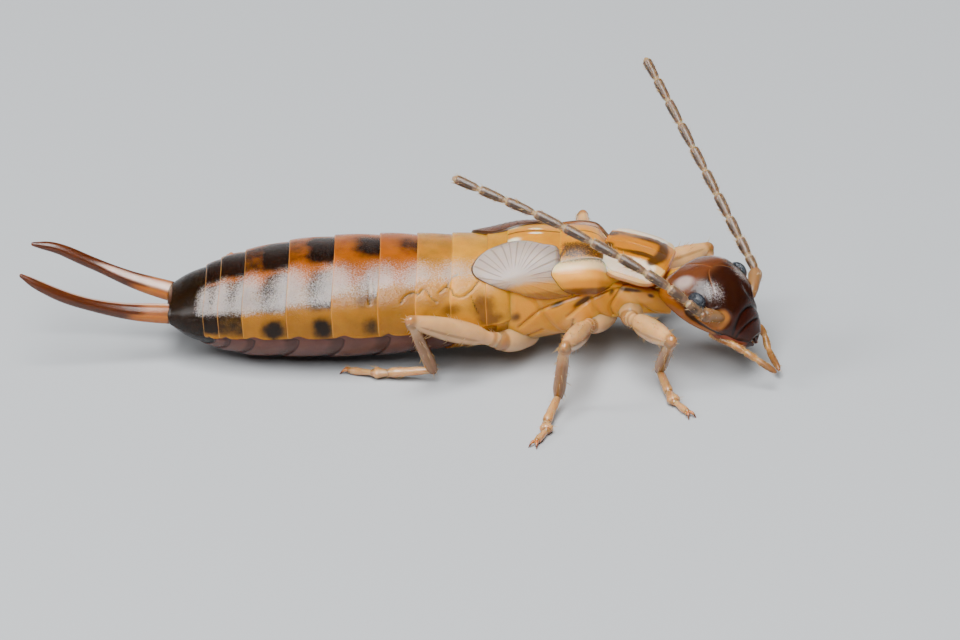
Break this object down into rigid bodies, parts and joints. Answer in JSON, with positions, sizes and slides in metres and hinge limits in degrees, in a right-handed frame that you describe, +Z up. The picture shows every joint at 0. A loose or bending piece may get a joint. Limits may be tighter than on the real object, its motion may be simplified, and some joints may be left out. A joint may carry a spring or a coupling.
{
  "type": "earwig",
  "caption": "Young common earwig at life size, standing on six legs, with long ringed antennae, short wing pads, a banded abdomen and slender tail forceps.",
  "frame": {"origin": "on the floor under the centre of the animal's outline", "axes": "+X from the tail towards the head, +Y to the animal's left, +Z up"},
  "size_m": [0.0144, 0.0084, 0.0045],
  "materials": {
    "head": "glossy dark red-brown shell",
    "eye": "glossy blue-black facets",
    "mouthparts": "satin amber-brown horn",
    "antenna": "satin grey-brown rings with pale joints",
    "thorax": "glossy translucent amber shell with dark bands",
    "wing_pad": "silky pale gold, faintly veined",
    "abdomen": "glossy pitted amber-brown shell",
    "tail": "glossy near-black shell",
    "forceps": "polished coppery red-brown horn",
    "leg": "satin translucent cream"
  },
  "bodies": {
    "root": {"abdomen_1": "abdomen", "abdomen_10": "tail", "abdomen_2": "abdomen", "abdomen_3": "abdomen", "abdomen_4": "abdomen", "abdomen_5": "abdomen", "abdomen_6": "abdomen", "abdomen_7": "abdomen", "abdomen_8": "abdomen", "abdomen_9": "tail", "antenna_flagellum_left": "antenna", "antenna_flagellum_right": "antenna", "antenna_scape_left": "antenna", "antenna_scape_right": "antenna", "eye_left": "eye", "eye_right": "eye", "forceps_left": "forceps", "forceps_right": "forceps", "forewing_pad_left": "wing_pad", "forewing_pad_right": "wing_pad", "head": "head", "hindwing_pad_left": "wing_pad", "hindwing_pad_right": "wing_pad", "labial_palp_left": "mouthparts", "labial_palp_right": "mouthparts", "leg_front_left_coxa": "leg", "leg_front_left_femur": "leg", "leg_front_left_tarsus": "leg", "leg_front_left_tibia": "leg", "leg_front_right_coxa": "leg", "leg_front_right_femur": "leg", "leg_front_right_tarsus": "leg", "leg_front_right_tibia": "leg", "leg_hind_left_coxa": "leg", "leg_hind_left_femur": "leg", "leg_hind_left_tarsus": "leg", "leg_hind_left_tibia": "leg", "leg_hind_right_coxa": "leg", "leg_hind_right_femur": "leg", "leg_hind_right_tarsus": "leg", "leg_hind_right_tibia": "leg", "leg_middle_left_coxa": "leg", "leg_middle_left_femur": "leg", "leg_middle_left_tarsus": "leg", "leg_middle_left_tibia": "leg", "leg_middle_right_coxa": "leg", "leg_middle_right_femur": "leg", "leg_middle_right_tarsus": "leg", "leg_middle_right_tibia": "leg", "mandible_left": "mouthparts", "mandible_right": "mouthparts", "maxillary_palp_left": "mouthparts", "maxillary_palp_right": "mouthparts", "mesothorax": "thorax", "metathorax": "thorax", "neck": "thorax", "pronotum": "thorax", "prothorax": "thorax"}
  },
  "joints": []
}
